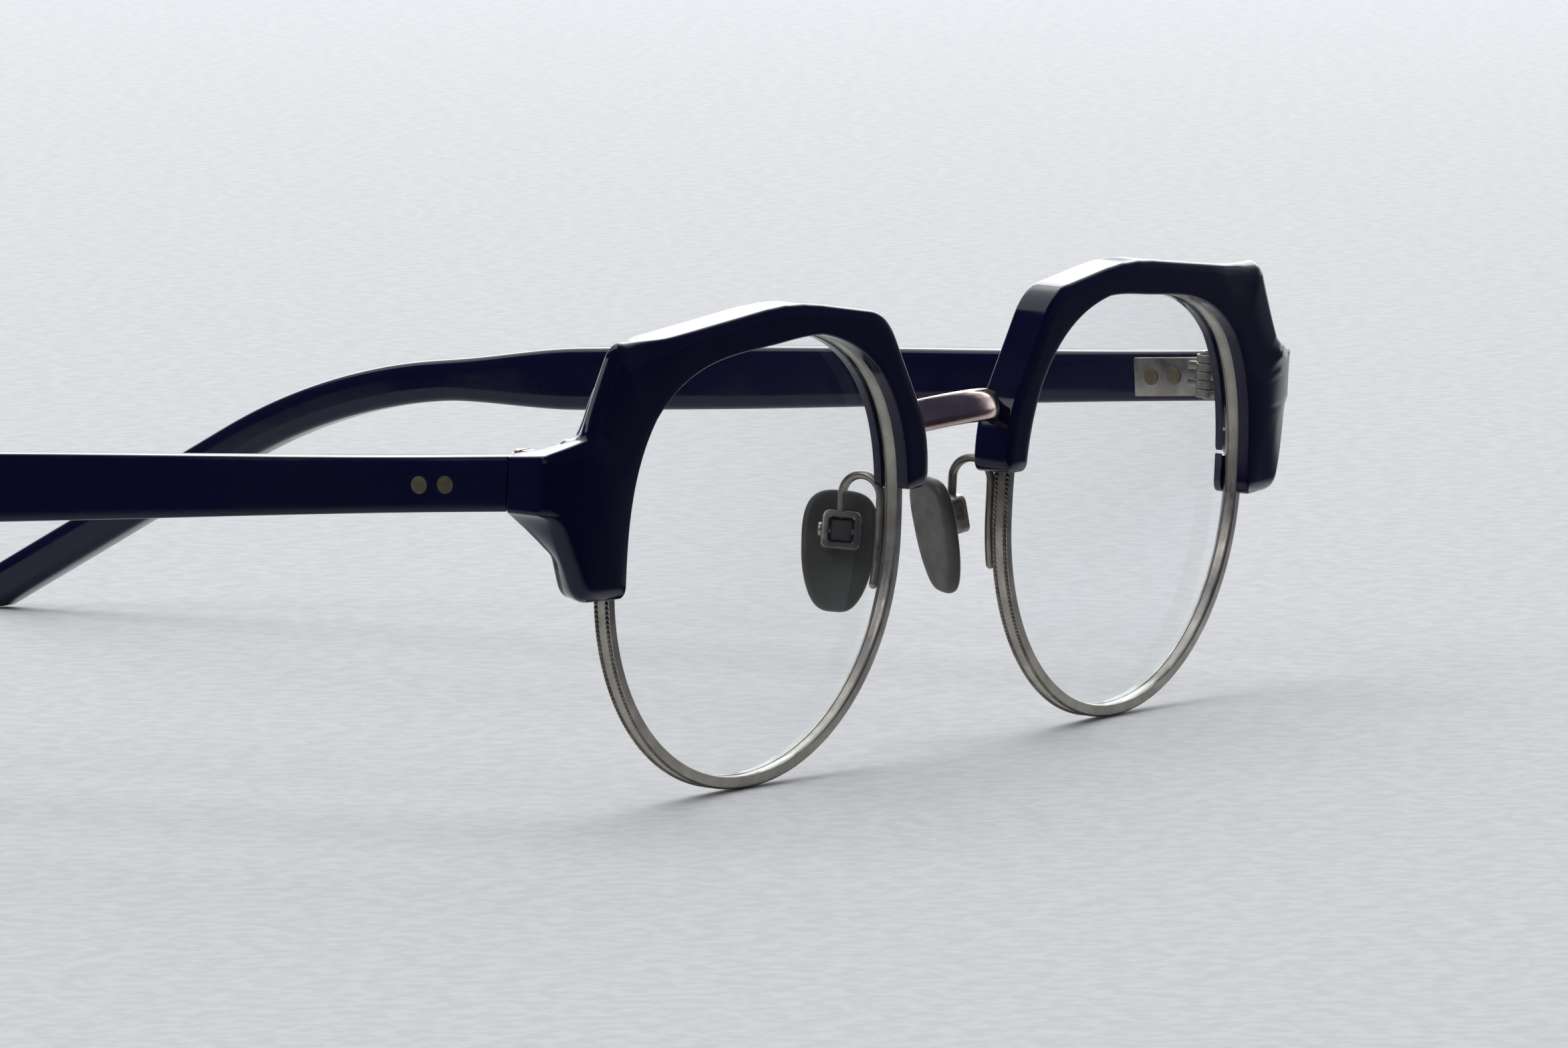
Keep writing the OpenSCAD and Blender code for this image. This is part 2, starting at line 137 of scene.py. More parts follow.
def rounded(corners, step=6):
    """A polygon from corners (x, y, radius), each rounded by its own radius."""
    pts, n = [], len(corners)
    for i, (x, y, r) in enumerate(corners):
        here = np.array([x, y])
        if r == 0:
            pts.append(here)
            continue
        u = np.array(corners[i - 1][:2]) - here
        v = np.array(corners[(i + 1) % n][:2]) - here
        u, v = u / np.linalg.norm(u), v / np.linalg.norm(v)
        half = math.acos(np.clip(u @ v, -1, 1)) / 2
        c = here + (u + v) / np.linalg.norm(u + v) * r / math.sin(half)
        p, q = here + u * r / math.tan(half) - c, here + v * r / math.tan(half) - c
        a = math.atan2(p[1], p[0])
        sweep = (math.atan2(q[1], q[0]) - a + 3 * math.pi) % (2 * math.pi) - math.pi
        k = max(2, math.ceil(abs(math.degrees(sweep)) / step - 0.01))
        turns = [a + sweep * j / k for j in range(k + 1)]
        pts += [c + r * np.array([math.cos(t), math.sin(t)]) for t in turns]
    return np.array(pts)


def divide(p, longest):
    """The same polyline with no stretch longer than longest."""
    out = []
    for a, b in zip(p[:-1], p[1:]):
        k = max(1, math.ceil(np.linalg.norm(b - a) / longest))
        out += [a + (b - a) * j / k for j in range(k)]
    return np.array(out + [p[-1]])


def distance(p, line):
    """Distance of each point of p (..., 2) from a polyline."""
    a, b = line[:-1], line[1:]
    d = b - a
    flat = p.reshape(-1, 1, 2)
    t = np.clip(((flat - a) * d).sum(-1) / np.maximum((d * d).sum(-1), 1e-12), 0, 1)
    return np.linalg.norm(flat - a - t[..., None] * d, axis=-1).min(-1).reshape(p.shape[:-1])


def smooth(x):
    x = np.clip(x, 0, 1)
    return x * x * (3 - 2 * x)


def averaged(values, kernel):
    """Running average with an odd kernel, the end values held."""
    padded = np.pad(values, len(kernel) // 2, mode="edge")
    return np.convolve(padded, kernel / kernel.sum(), mode="valid")


# ---------------------------------------------------------------- mesh making
class Shape:
    """Points in mm and faces, gathered from several shells."""

    def __init__(self):
        self.points, self.faces = [], []

    def add(self, points, faces):
        base = len(self.points)
        self.points += [tuple(p) for p in points]
        self.faces += [tuple(base + i for i in f) for f in faces]
        return self

    def skin(self, rings, close_u=True, close_v=False, caps=False):
        """rings (k, n, 3): quads between neighbouring rings; u runs along a ring, v from ring to ring."""
        rings = np.asarray(rings, float)
        k, n = rings.shape[:2]
        faces = []
        for r in range(k if close_v else k - 1):
            for i in range(n if close_u else n - 1):
                j, s = (i + 1) % n, (r + 1) % k
                faces.append((r * n + i, r * n + j, s * n + j, s * n + i))
        if caps:
            faces.append(tuple(range(n - 1, -1, -1)))
            faces.append(tuple((k - 1) * n + i for i in range(n)))
        return self.add(rings.reshape(-1, 3), faces)

    def block(self, low, high, place=lambda p: p, edge=0.12):
        """A box with rounded edges, placed by a function."""
        low, high = np.array(low, float), np.array(high, float)
        bm = bmesh.new()
        bmesh.ops.create_cube(bm, size=1)
        for v in bm.verts:
            v.co = Vector((low + high) / 2) + Vector(np.array(v.co) * (high - low))
        bmesh.ops.bevel(bm, geom=bm.edges[:], offset=edge, segments=3, profile=0.5, affect="EDGES")
        bm.verts.index_update()
        pts = place(np.array([v.co for v in bm.verts]))
        self.add(pts, [tuple(v.index for v in f.verts) for f in bm.faces])
        bm.free()
        return self

    def turned(self, profile, place, n=48):
        """A turned solid from (radius, height) pairs about +Z, closed at both ends."""
        a = np.arange(n) * 2 * math.pi / n
        rings = [np.stack([r * np.cos(a), r * np.sin(a), np.full(n, h)], -1) for r, h in profile]
        return self.skin([place(r) for r in rings], caps=True)

    def wire(self, path, radius, n=16):
        """A round wire with round ends, along a path of points."""
        path = np.array(path, float)
        turns = (1.45, 1.1, 0.6)
        a, b = unit(path[0] - path[1]), unit(path[-1] - path[-2])
        head = [path[0] + a * radius * math.sin(q) for q in turns]
        tail = [path[-1] + b * radius * math.sin(q) for q in turns[::-1]]
        scale = [math.cos(q) for q in turns]
        size = radius * np.array(scale + [1] * len(path) + scale[::-1])
        path = np.array(head + list(path) + tail)
        t = np.gradient(path, axis=0)
        t /= np.linalg.norm(t, axis=1, keepdims=True)
        u = unit(np.cross(t[0], [0.3, 0.2, 1]))
        around = np.arange(n) * 2 * math.pi / n
        rings = []
        for p, d, s in zip(path, t, size):
            u = unit(u - d * (u @ d))
            v = np.cross(d, u)
            rings.append([p + s * (math.cos(q) * u + math.sin(q) * v) for q in around])
        return self.skin(rings, caps=True)


def unit(v):
    return np.asarray(v, float) / np.linalg.norm(v)


def build(name, shape, place, side, body, material, replaced=(), sharp=32, cutters=()):
    """Makes one piece from a shape drawn for the wearer's left; side -1 mirrors it to the right."""
    pts = place(np.array(shape.points)) * MM
    pts[:, 0] *= side
    mesh = bpy.data.meshes.new(name)
    mesh.from_pydata([tuple(p) for p in pts], [], [f if side > 0 else f[::-1] for f in shape.faces])
    bm = bmesh.new()
    bm.from_mesh(mesh)
    bmesh.ops.remove_doubles(bm, verts=bm.verts, dist=2e-6)
    bmesh.ops.dissolve_degenerate(bm, edges=bm.edges, dist=1e-7)
    bmesh.ops.recalc_face_normals(bm, faces=bm.faces)
    bm.to_mesh(mesh)
    bm.free()
    obj = bpy.data.objects.new(name, mesh)
    bpy.context.scene.collection.objects.link(obj)
    for cutter in cutters:
        tool = build(name + "_cut", cutter, place, side, None, None)
        mod = obj.modifiers.new("cut", "BOOLEAN")
        mod.object, mod.operation, mod.solver = tool, "DIFFERENCE", "EXACT"
        done = bpy.data.meshes.new_from_object(obj.evaluated_get(bpy.context.evaluated_depsgraph_get()))
        obj.modifiers.clear()
        obj.data = done
        bpy.data.objects.remove(tool)
    mesh = obj.data
    mesh.shade_smooth()
    mesh.set_sharp_from_angle(angle=math.radians(sharp))
    if body is None:
        return obj
    mesh.materials.clear()
    mesh.materials.append(material)
    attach(obj, body)
    if replaced:
        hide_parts(*replaced)
    return obj


# ---------------------------------------------------------------- brow
# Heights of the brow's two ends: the nasal tip and the outer leg
NASAL_Z, LEG_Z = 4.2, -1.9
# Outline of the brow seen from the front: (x, z, corner radius)
BROW_CORNERS = [
    (LENS_X - 25.2, NASAL_Z, 0),
    (LENS_X - 28.5, NASAL_Z, 1.4),
    (LENS_X - 28.1, 9.6, 10),
    (LENS_X - 19.6, 20.9, 6.5),
    (LENS_X - 3.2, 22.9, 45),
    (LENS_X + 18.8, 20.9, 30),
    (CORNER_X - 9.8, 20.8, 2.5),
    (CORNER_X - 5.3, 12.9, 1.6),
    (CORNER_X, 11.6, 0.5),
    (CORNER_X, END_Z - T_H / 2, 0.5),
    (CORNER_X - 1.7, 5.6, 3),
    (CORNER_X - 5.2, LEG_Z, 2.6),
    (LENS_X + 25.7, LEG_Z, 0),
]
# Where the brow's back face steps out to the endpiece, and how long the step is
STEP_X, STEP_RUN = CORNER_X - 4.88, 0.28


def seam_at(x):
    return SEAM_Y + (CORNER_X - x) * math.tan(MITRE)


def brow_back(p):
    """Depth of the brow's back face: level, then stepping out to the mitre seam at the endpiece."""
    x, z = p[..., 0], p[..., 1]
    step = smooth((x - STEP_X) / 0.5)
    below = smooth((z - 1.5) / 5.0)
    return BROW_BACK + step * below * (seam_at(np.maximum(x, STEP_X + STEP_RUN)) - BROW_BACK)


def brow_shape():
    outer = divide(rounded(BROW_CORNERS), 0.45)
    fine = np.linspace(math.radians(171.5), math.radians(-6), 6000)
    edge = outline_at(fine)
    inside = (edge[:, 1] >= LEG_Z) & ~((edge[:, 0] < LENS_X) & (edge[:, 1] < NASAL_Z))
    fine, edge = fine[inside], edge[inside]
    a = np.array([fine[np.argmin(((edge - o) ** 2).sum(-1))] for o in outer])
    a = np.minimum.accumulate(a)
    a[0], a[-1] = fine[0], fine[-1]
    inner = outline_at(a)
    # The inner corner of the nasal tip and of the leg is rounded
    for low, r, hand in ((NASAL_Z, 0.8, -1), (LEG_Z, 1.2, 1)):
        up = np.clip((low + r - inner[:, 1]) / r, 0, 1)
        up = np.where((inner[:, 0] - LENS_X) * hand > 0, up, 0)
        inner[:, 0] += hand * r * (1 - np.sqrt(1 - up ** 2))
    line, length = outer - inner, np.linalg.norm(outer - inner, axis=-1)
    n = len(outer)

    # Width and fall of the crowned band along the outer edge, wide round the temporal corner
    s = outer[:, 0]
    top = outer[:, 1]
    wide = 1.3 + 3.6 * smooth((s - 53) / 7) * smooth((top - 8) / 5) * (1 - smooth((s - 65) / 5))
    wide = np.where(top < 8, 1.2, wide)
    wide = averaged(wide, np.hanning(31))
    fall = 0.22 + 0.10 * (wide - 1.2)
    wide = np.minimum(wide, 0.75 * np.maximum(length, 1e-6))

    # How far each point belongs to the leaning flank, the leg and the front corner
    flank = smooth((s - 56) / 5) * smooth((top - 11.3) / 2.6) * (1 - smooth((s - 67.0) / 1.4))
    leg = smooth((s - 62.5) / 3) * smooth((6.2 - top) / 1.7)
    corner = smooth((s - CORNER_X + 0.6) / 0.5) * smooth((11.4 - top) / 0.5)
    flank, leg, corner = (averaged(v, np.ones(9)) for v in (flank, leg, corner))
    edge_r, lip_r = 0.3 + 0.6 * np.maximum(np.maximum(flank, leg), corner), 0.16
    shoulder = np.exp(-((s - CORNER_X + 9.8) ** 2 + (top - 20.8) ** 2) / 2.2 ** 2)
    lean_in = 2.5 * flank + 1.25 * leg + 0.9 * shoulder
    targets = [edge_r * (1 - math.sin(math.radians(q))) for q in (90, 72, 54, 36, 18, 0)]
    targets += [edge_r + (wide - edge_r) * k for k in (0.12, 0.25, 0.4, 0.55, 0.7, 0.85, 1.0)]
    rings = []

    def front_depth(p):
        d = distance(p, outer)
        crown = fall * np.clip(1 - d / np.maximum(wide, 0.3), 0, 1) ** 1.6
        lip = np.clip(lip_r - distance(p, inner), 0, lip_r)
        near = np.clip(edge_r - d, 0, edge_r)
        turn_back = 1.4 * smooth((p[:, 0] - CORNER_X + 6.0) / 6.0)
        edge_fall = edge_r - np.sqrt(edge_r ** 2 - near ** 2)
        lip_fall = lip_r - np.sqrt(lip_r ** 2 - lip ** 2)
        return BROW_FRONT + crown + turn_back + edge_fall + lip_fall

    def at_distance(target):
        low, high = np.zeros(n), np.ones(n)
        for _ in range(16):
            mid = (low + high) / 2
            far = distance(inner + mid[:, None] * line, outer) > target
            low, high = np.where(far, mid, low), np.where(far, high, mid)
        return (low + high) / 2

    safe = np.maximum(length, 1e-6)
    first = [np.minimum(lip_r * (1 - math.sin(math.radians(q))) / safe, 0.3) for q in (90, 60, 30, 0)]
    crossing = [at_distance(t) for t in targets[::-1]]
    crossing[-1] = np.ones(n)
    middle = [first[-1] + (np.maximum(crossing[0], first[-1]) - first[-1]) * k for k in (0.33, 0.67)]
    fractions = first + middle + crossing
    fractions = np.maximum.accumulate(np.array(fractions), axis=0)
    for f in fractions:
        p = inner + f[:, None] * line
        rings.append(np.column_stack([p[:, 0], front_depth(p), p[:, 1]]))

    # Outer wall, from the front edge to the back edge, leaning inwards at the flank and the leg
    at_endpiece = (s > STEP_X + STEP_RUN) & (top > 5.5)
    back_r = np.where(at_endpiece, 0.1, 0.32 + 0.4 * np.maximum(flank, leg))
    back_r = averaged(back_r, np.ones(7))
    tuck = np.minimum(lean_in / safe, 0.6)
    y0, y1 = rings[-1][:, 1], brow_back(inner + (1 - tuck)[:, None] * line)
    for k in (0.04, 0.12, 0.25, 0.5, 0.75, 0.9):
        p = inner + (1 - tuck * k ** 1.3)[:, None] * line
        rings.append(np.column_stack([p[:, 0], y0 + (y1 - back_r - y0) * k, p[:, 1]]))
    for q in (0, 22, 45, 68, 90):
        q = math.radians(q)
        f = 1 - tuck - np.minimum(back_r * (1 - math.cos(q)) / safe, 1)
        p = inner + np.maximum(f, 0)[:, None] * line
        y = brow_back(p) - back_r * (1 - math.sin(q))
        rings.append(np.column_stack([p[:, 0], y, p[:, 1]]))

    # Back face, with rings close together over the step at the endpiece
    cosine = np.maximum(np.abs(line[:, 0]) / safe, 0.2)
    done = np.maximum(1 - tuck - back_r / safe, 0)
    for j, past in enumerate((3.68, 2.48, 1.28, 0.52, 0.42, 0.32, 0.25, 0.18, 0.1, 0.0)):
        inward = np.maximum(back_r + 0.04 * (j + 1), (outer[:, 0] - STEP_X - past) / cosine)
        f = np.minimum(done, 1 - inward / safe)
        done = np.maximum(f, 0)
        p = inner + done[:, None] * line
        rings.append(np.column_stack([p[:, 0], brow_back(p), p[:, 1]]))
    last = done.copy()
    for k in (0.66, 0.33):
        p = inner + (last * k)[:, None] * line
        rings.append(np.column_stack([p[:, 0], brow_back(p), p[:, 1]]))
    for q in (0, 45, 90):
        q = math.radians(q)
        f = np.minimum(lip_r * (1 - math.sin(q)) / safe, last * 0.3)
        p = inner + f[:, None] * line
        rings.append(np.column_stack([p[:, 0], np.full(n, BROW_BACK - lip_r * (1 - math.cos(q))), p[:, 1]]))

    # Inner wall, with the groove that takes the eyewire
    deep = outline_at(a, RIM_WALL + 0.05) - inner
    room = np.minimum(1, 0.8 * length / (RIM_WALL + 0.05))[:, None]
    for g, y in ((0, 1.69), (1, 1.69), (1, -0.03), (0, -0.03)):
        p = inner + g * deep * room
        rings.append(np.column_stack([p[:, 0], np.full(n, y), p[:, 1]]))

    rings = np.array(rings)
    # The endpiece's top slopes down to the height of the temple, which it meets level at the seam
    x, y, z = rings[..., 0], rings[..., 1], rings[..., 2]
    crest = 12.9 - 0.245 * np.maximum(x - CORNER_X + 5.3, 0)
    back = np.clip((y - BROW_FRONT) / (seam_at(np.maximum(x, STEP_X)) - BROW_FRONT), 0, 1)
    share = np.clip((z - END_Z) / (crest - END_Z), 0, 1.2)
    rings[..., 2] = z - (crest - END_Z - T_H / 2) * smooth((x - CORNER_X + 6.4) / 1.8) * back * share
    return Shape().skin(rings, close_u=False, close_v=True)


def plate_disc(shape, x, z, r, y0, y1, edge=0.06, n=40):
    """A round disc facing forwards, from y0 back to y1, with eased edges."""
    profile = [(0.02, 0), (r - edge, 0), (r, edge), (r, y1 - y0 - edge), (r - edge, y1 - y0), (0.02, y1 - y0)]
    return shape.turned(profile, lambda p: np.stack([p[:, 0] + x, p[:, 2] + y0, p[:, 1] + z], -1), n)


LUGS = [math.radians(36), math.radians(142)]
LUG_AT = [outline_at(a, 1.75) for a in LUGS]
SPLIT_X = float(outline_at(math.radians(10), RIM_WALL)[0])
BLOCK_X, BLOCK_Y = SPLIT_X + 0.1, 0.7


def brow_cutters():
    tools = [plate_disc(Shape(), p[0], p[1], 1.3, 0.9, 4, 0.02) for p in LUG_AT]
    tools.append(Shape().block((SPLIT_X - 1, 0.6, 1.7), (SPLIT_X + 1.9, 5, 6.7), edge=0.25))
    return tools


# ---------------------------------------------------------------- eyewire
def eyewire_shape():
    a, _ = even_angles(480)
    # Section: distance out from the lens edge, and depth. A shallow seat for the lens, a chamfer behind it
    section = [
        (0.0, 1.12), (0.03, 1.2), (0.42, 1.62), (0.5, 1.65), (0.85, 1.65), (0.99, 1.63), (1.03, 1.56),
        (1.03, 1.2), (0.98, 1.02), (0.97, 0.83), (0.98, 0.64), (1.03, 0.45),
        (1.03, 0.09), (0.99, 0.02), (0.85, 0.0), (0.1, 0.0), (0.0, 0.12), (0.0, 0.53),
        (0.07, 0.58), (0.07, 1.07),
    ]
    rings = []
    for g, y in section:
        p = outline_at(a, g)
        rings.append(np.column_stack([p[:, 0], np.full(len(a), y), p[:, 1]]))
    shape = Shape().skin(rings, close_v=True)

    for p in LUG_AT:
        ring = Shape()
        plate_disc(ring, p[0], p[1], 1.25, RIM_DEPTH - 0.7, RIM_DEPTH, 0.05)
        shape.add(ring.points, ring.faces)
    return shape


def milgrain():
    """Two rows of small beads along the outer edges of the eyewire, below the brow."""
    total = even_angles(480)[1]
    pitch, per = 0.42, 8
    shape = Shape()
    beads = int(total / pitch)
    b, _ = even_angles(beads * per)
    s = np.arange(beads * per) * math.pi / per
    height = 0.17 * np.abs(np.sin(s)) ** 0.75
    half = 0.11 + 0.08 * np.abs(np.sin(s)) ** 0.6
    angle = (np.degrees(b) + 180) % 360 - 180
    bare = (angle < 3) | (angle > 160)
    start = int(np.argmax(bare & ~np.roll(bare, 1)))
    order = np.roll(np.arange(len(b)), -start)
    order = order[bare[order]]
    half_profile = [(-1.1, -0.35), (-1, 0.1), (-0.75, 0.62), (-0.35, 0.93)]
    profile = half_profile + [(0, 1)] + [(-u, h) for u, h in half_profile[::-1]]
    for y in (0.27, 1.38):
        rings = []
        for u, h in profile:
            g = 1.03 + np.where(h > 0, height * h, 0.12 * h)
            p = lens_edge(b) + [LENS_X, 0] + g[:, None] * lens_normal(b)
            ring = np.column_stack([p[:, 0], y + half * u, p[:, 1]])
            rings.append(ring[order])
        shape.skin(rings, close_u=False, close_v=True)
    return shape


def closing_blocks():
    shape = Shape()
    for z in (SPLIT_Z - 1.9, SPLIT_Z + 0.1):
        shape.block((BLOCK_X - 0.5, BLOCK_Y, z), (BLOCK_X + 1.5, BLOCK_Y + 2.1, z + 1.8), edge=0.16)
    return shape


def rim_screw():
    profile = [
        (0.02, -2.28), (0.5, -2.28), (0.64, -2.18), (0.66, -1.92),
        (0.5, -1.88), (0.5, 1.85), (0.42, 1.92), (0.02, 1.92),
    ]
    at = [BLOCK_X + 0.65, BLOCK_Y + 1.05, SPLIT_Z]
    return Shape().turned(profile, lambda p: p + at, 32)


def slotted_head(shape, r, h, slot, place, n=48):
    """A screw head about +Z from 0 to h: domed, with a straight slot across its top."""
    half = slot / 2
    for side in (1, -1):
        t = math.asin(half / r)
        a = np.linspace(t, math.pi - t, n // 2) * side
        rings = []
        for k, z in ((1.0, 0.0), (1.0, h * 0.6), (0.93, h * 0.86), (0.8, h * 0.97)):
            ring = [(r * k * math.cos(v), max(abs(r * k * math.sin(v)), half) * side, z) for v in a]
            rings.append(ring)
        mid = [(x * 0.5, side * max(abs(y) * 0.5, half), h) for x, y, _ in rings[-1]]
        rings.append(mid)
        rings.append([(x * 0.02, side * half, h) for x, y, _ in rings[-1]])
        pts = np.array([place(np.array(q)) for q in rings])
        shape.skin(pts, caps=True)
    floor = [(r * 0.97 * math.cos(v), r * 0.97 * math.sin(v)) for v in np.arange(n) * 2 * math.pi / n]
    shape.skin([place(np.array([(x, y, z) for x, y in floor])) for z in (0.01, h * 0.45)], caps=True)
    return shape


def brow_screws():
    shape = Shape()
    for p in LUG_AT:
        place = lambda q, p=p: np.stack([q[:, 0] + p[0], q[:, 2] + RIM_DEPTH + 0.02, -q[:, 1] + p[1]], -1)
        slotted_head(shape, 0.95, 0.73, 0.24, place)
    return shape


# ---------------------------------------------------------------- lens
def lens_shape():
    a, _ = even_angles(240)
    apex = RIM_DEPTH / 2 - LENS_T / 2 - 1

    def depth(p, offset):
        r2 = (p[:, 0] - LENS_X) ** 2 + p[:, 1] ** 2
        return apex + offset + LENS_R - np.sqrt(LENS_R ** 2 - r2)

    rings = []
    rim = outline_at(a, -0.02)
    centre = np.array([LENS_X, 0.0])
    scale = (0.001, 0.08, 0.2, 0.35, 0.5, 0.65, 0.8, 0.9, 0.96, 0.99, 1.0)
    for k in scale:
        p = centre + (rim - centre) * k
        rings.append(np.column_stack([p[:, 0], depth(p, 0.0), p[:, 1]]))
    tip = outline_at(a, 0.04)
    rings.append(np.column_stack([rim[:, 0], np.full(len(a), RIM_DEPTH / 2 - 0.32), rim[:, 1]]))
    rings.append(np.column_stack([tip[:, 0], np.full(len(a), RIM_DEPTH / 2), tip[:, 1]]))
    rings.append(np.column_stack([rim[:, 0], np.full(len(a), RIM_DEPTH / 2 + 0.32), rim[:, 1]]))
    for k in scale[::-1]:
        p = centre + (rim - centre) * k
        rings.append(np.column_stack([p[:, 0], depth(p, LENS_T), p[:, 1]]))
    return Shape().skin(rings, caps=True)


# ---------------------------------------------------------------- bridge
def bridge_shape():
    """A rounded bar swept along a bow, turning out at each end into a foot on the eyewire."""
    bow, deep, tall, half, foot = 15.0, 0.9, 1.55, math.radians(35.5), 3.4
    end = np.array([bow * math.sin(half), bow * (1 - math.cos(half))])
    path = [(bow * math.sin(t), bow * (1 - math.cos(t))) for t in np.linspace(0, half - 0.10, 30)]
    # The bow eases into the straight foot
    start, knee = np.array(path[-1]), end - np.array([0.05, 0.02])
    leave = end + np.array([1.6, 0.0])
    for t in np.linspace(0, 1, 12)[1:]:
        path.append(tuple((1 - t) ** 2 * start + 2 * t * (1 - t) * knee + t * t * leave))
    path += [(leave[0] + (foot - 1.6) * t, leave[1]) for t in (0.5, 1.0)]
    path = np.array(path)
    path = np.vstack([(path * [-1, 1])[:0:-1], path])
    along = np.gradient(path, axis=0)
    along /= np.linalg.norm(along, axis=1, keepdims=True)
    t = 2 * math.pi * np.arange(40) / 40
    across = deep * np.sign(np.cos(t)) * np.abs(np.cos(t)) ** 0.85
    up = tall * np.sign(np.sin(t)) * np.abs(np.sin(t)) ** 0.78
    rings = []
    for p, d in zip(path, along):
        rings.append(np.stack([p[0] - d[1] * across, p[1] + d[0] * across, up], -1))
    rings = np.array(rings) @ rot_x(math.radians(-20)).T + [0, -2.65 + deep, 11.15]
    return Shape().skin(rings, caps=True)


# ---------------------------------------------------------------- nose pads and their arms
def pad_arm_shape():
    arm_r, box = 0.42, 3.6
    arm_x = LENS_X - LENS_W / 2 - RIM_WALL / 2
    arm_y, arm_z = RIM_DEPTH + arm_r + 0.03, 3.1
    path = []
    for d in np.linspace(191, 181, 12):
        p = outline_at(math.radians(d), RIM_WALL / 2)
        path.append((p[0], arm_y, p[1]))
    path += [(arm_x, arm_y, z) for z in np.linspace(0.4, arm_z, 7)]
    a, b = np.array([arm_x, arm_y]), PAD_PIVOT[:2]
    mid, half = (a + b) / 2, (a - b) / 2
    for t in np.linspace(0, math.pi, 25)[1:-1]:
        q = mid + half * math.cos(t)
        path.append((q[0], q[1], arm_z + np.linalg.norm(half) * math.sin(t)))
    path += [(b[0], b[1], z) for z in np.linspace(arm_z, PAD_PIVOT[2] + box / 2 - 0.3, 6)]
    shape = Shape().wire(path, arm_r, 20)

    # The square box that holds the pad: four rounded walls
    outer, inner, deep = box / 2, 1.15, 0.9

    def ring(half_size, r, y):
        quarters = ((1, 1), (-1, 1), (-1, -1), (1, -1))
        sq = rounded([(i * half_size, j * half_size, r) for i, j in quarters], step=15)
        return np.column_stack([sq[:, 0], np.full(len(sq), y), sq[:, 1]])

    # Half size, corner radius and depth in from the face, from the opening out to the wall
    front = [
        (inner, 0.25, 0.12), (inner + 0.1, 0.3, 0), (outer - 0.22, 0.55, 0),
        (outer - 0.06, 0.62, 0.06), (outer, 0.65, 0.2),
    ]
    rows = [ring(h, r, -deep + inset) for h, r, inset in front]
    rows += [ring(h, r, deep - inset) for h, r, inset in front[::-1]]
    frame_box = Shape().skin(rows, close_v=True)
    shape.add(at_pad(np.array(frame_box.points)), frame_box.faces)
    return shape


def nose_pad_shape():
    t = np.arange(96) * 2 * math.pi / 96
    c, up = np.cos(t), np.sin(t)
    # A broad top that tapers to the foot, widest above the middle
    centre = np.array([0.0, -1.6])
    across = 3.42 * np.sign(c) * np.abs(c) ** 0.62 * (1 + 0.19 * up)
    rim = centre + np.stack([across, 5.7 * np.sign(up) * np.abs(up) ** 0.84], -1)
    closed = np.vstack([rim, rim[:1]])
    y0, y1 = 1.25, 2.55
    rings = []

    def row(k):
        p = centre + (rim - centre) * k
        return p, distance(p, closed)

    scale = [0.02, 0.2, 0.4, 0.58, 0.7, 0.8, 0.87, 0.92, 0.955, 0.98, 0.993, 1.0]
    for k in scale:
        p, d = row(k)
        near = np.clip(0.5 - d, 0, 0.5)
        y = y0 + 0.5 - np.sqrt(0.25 - near ** 2)
        rings.append(np.column_stack([p[:, 0], y, p[:, 1]]))
    for k in scale[::-1]:
        p, d = row(k)
        near = np.clip(0.75 - d, 0, 0.75)
        y = y1 - (0.75 - np.sqrt(0.5625 - near ** 2))
        rings.append(np.column_stack([p[:, 0], y, p[:, 1]]))
    shape = Shape().skin(rings, caps=True)
    shape.block((-1.0, -0.5, -1.0), (1.0, 1.4, 1.0), edge=0.2)
    shape.points = list(at_pad(np.array(shape.points)))
    return shape


def pad_screw_shape():
    place = lambda p: at_pad(np.stack([p[:, 2], p[:, 1], -p[:, 0]], -1))
    shape = Shape().turned([(0.02, -1.86), (0.34, -1.86), (0.4, -1.78), (0.4, 1.8), (0.02, 1.8)], place, 32)
    slotted_head(shape, 0.7, 0.35, 0.2, lambda q: place(q + [0, 0, 1.8]), 32)
    return shape


# ---------------------------------------------------------------- hinges
BARREL_R, PIN_R, KNUCKLE, KNUCKLE_GAP = 1.3, 0.6, 0.8, 0.05
BARREL_H = 5 * KNUCKLE + 4 * KNUCKLE_GAP


def at_hinge(p):
    return np.asarray(p, float) + [HINGE[0], HINGE[1], END_Z - BARREL_H / 2]


def knuckles(shape, which, arm_low, arm_high):
    for i in which:
        z = i * (KNUCKLE + KNUCKLE_GAP)
        low = [(PIN_R, 0), (BARREL_R - 0.07, 0), (BARREL_R, 0.07)]
        profile = [(r, z + h) for r, h in low] + [(r, z + KNUCKLE - h) for r, h in low[::-1]]
        shape.turned(profile, at_hinge)
        shape.block((*arm_low, z + 0.01), (*arm_high, z + KNUCKLE - 0.01), at_hinge, 0.06)
    return shape


def front_hinge_shape():
    low = (HINGE[0] - 4.6, BROW_BACK - 0.9, END_Z - 2.1)
    high = (HINGE[0] + 1, BROW_BACK + 0.6, END_Z + 2.1)
    shape = Shape().block(low, high, edge=0.22)
    return knuckles(shape, (0, 2, 4), (-1.1, BROW_BACK + 0.3 - HINGE[1]), (0.95, -0.2))


def temple_hinge_shape():
    shape = Shape().block((-T_THICK - 0.35, 2.4, -1.9), (-T_THICK + 0.3, 10.8, 1.9), along_temple, 0.14)
    return knuckles(shape, (1, 3), (0.1, 0.45), (1.66, 2.4))


def hinge_screw_shape():
    profile = [(0.02, -0.2), (0.5, -0.2), (PIN_R, -0.12), (PIN_R, BARREL_H + 0.1), (0.02, BARREL_H + 0.1)]
    shape = Shape().turned(profile, at_hinge, 32)
    return slotted_head(shape, 1.05, 0.35, 0.3, lambda q: at_hinge(q + [0, 0, BARREL_H + 0.02]))


